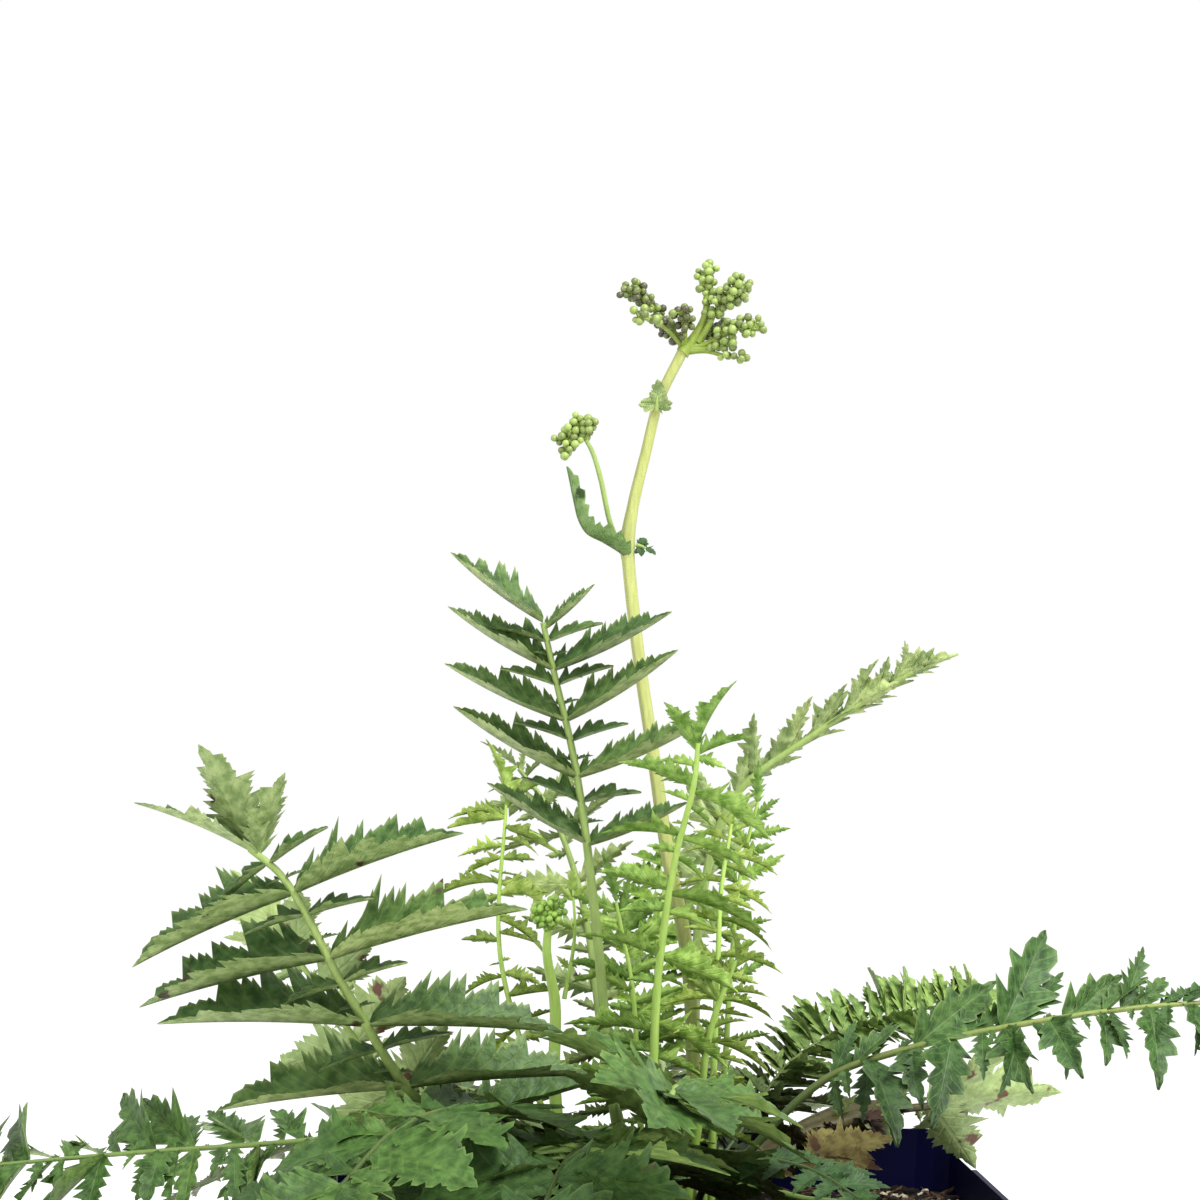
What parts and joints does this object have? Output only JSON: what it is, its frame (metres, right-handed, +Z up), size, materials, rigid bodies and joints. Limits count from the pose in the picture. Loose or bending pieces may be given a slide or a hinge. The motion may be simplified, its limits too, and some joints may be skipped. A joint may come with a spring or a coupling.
{
  "type": "potted meadowsweet",
  "caption": "Meadowsweet plant in bud growing in a square plastic nursery pot, with toothed pinnate leaves and a tall stem of round buds.",
  "frame": {"origin": "centre of the pot's underside", "axes": "+Z up, opposite to the underside's outward normal; -Y towards the side with the broad front leaves, +X towards the long right-hand leaf"},
  "size_m": [0.272, 0.2221, 0.3025],
  "materials": {
    "pot_plastic": "navy blue moulded polypropylene, satin, scuffed pale along its edges",
    "compost": "near-black moist peat compost with bark chips",
    "crown": "brown papery old stalk bases",
    "stem": "pale yellow-green ridged living stem",
    "bud": "olive green closed flower buds, faintly glossy",
    "leaf": "dark green upper side, pale grey-green underside, toothed and veined",
    "pale_leaf": "pale green ageing leaf with brown spots",
    "young_leaf": "bright yellow-green young leaf",
    "withered_leaf": "dry yellow-brown withered leaf"
  },
  "bodies": {
    "root": {"pot": "pot_plastic", "compost": "compost", "crown": "crown", "flower_stem": "stem", "flower_head": "bud", "side_stalk": "stem", "side_head": "bud", "stem_leaf": "leaf", "stem_stipule": "leaf", "stem_bract": "leaf", "young_stem": "stem", "young_head": "bud", "young_stem_leaf": "young_leaf", "tall_leaf": "leaf", "left_leaf": "leaf", "right_leaf": "leaf", "bright_leaf": "young_leaf", "slender_left_leaf": "young_leaf", "slender_right_leaf": "young_leaf", "shaded_leaf": "leaf", "left_trailing_leaf": "leaf", "right_trailing_leaf": "leaf", "right_back_leaf": "leaf", "old_pale_leaf": "pale_leaf", "front_leaf": "leaf", "front_left_leaf": "leaf", "front_right_leaf": "leaf", "left_pale_leaf": "pale_leaf", "right_front_leaf": "leaf", "withered_leaf": "withered_leaf", "back_leaf": "leaf", "back_left_leaf": "leaf", "back_right_leaf": "leaf", "left_back_leaf": "leaf", "inner_left_leaf": "young_leaf", "inner_right_leaf": "young_leaf", "inner_back_leaf": "leaf", "inner_right_back_leaf": "young_leaf", "front_low_leaf": "leaf", "front_middle_leaf": "leaf"}
  },
  "joints": []
}
